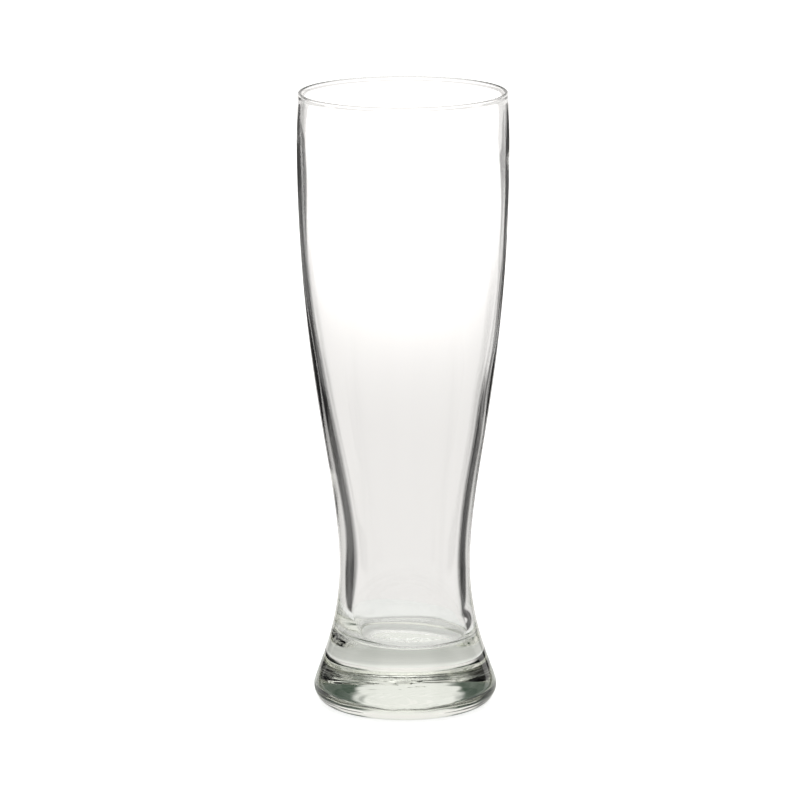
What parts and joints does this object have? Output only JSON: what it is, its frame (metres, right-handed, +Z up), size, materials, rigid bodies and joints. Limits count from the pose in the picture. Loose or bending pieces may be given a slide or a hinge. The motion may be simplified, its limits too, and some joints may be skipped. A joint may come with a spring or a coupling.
{
  "type": "pilsner glass",
  "caption": "Tall clear pilsner beer glass with a fire-polished rim, a bowl that narrows to a waist, and a heavy flared foot that it stands on.",
  "frame": {"origin": "centre of the bearing ring under the foot, on the table plane", "axes": "+Z up along the glass's axis, from the foot to the rim; X and Y are alike"},
  "size_m": [0.0764, 0.0764, 0.225],
  "materials": {
    "glass": "clear, fire-polished soda-lime glass with a faint green cast in thick sections"
  },
  "bodies": {
    "root": {"foot": "glass", "waist": "glass", "bowl": "glass", "rim": "glass"}
  },
  "joints": []
}
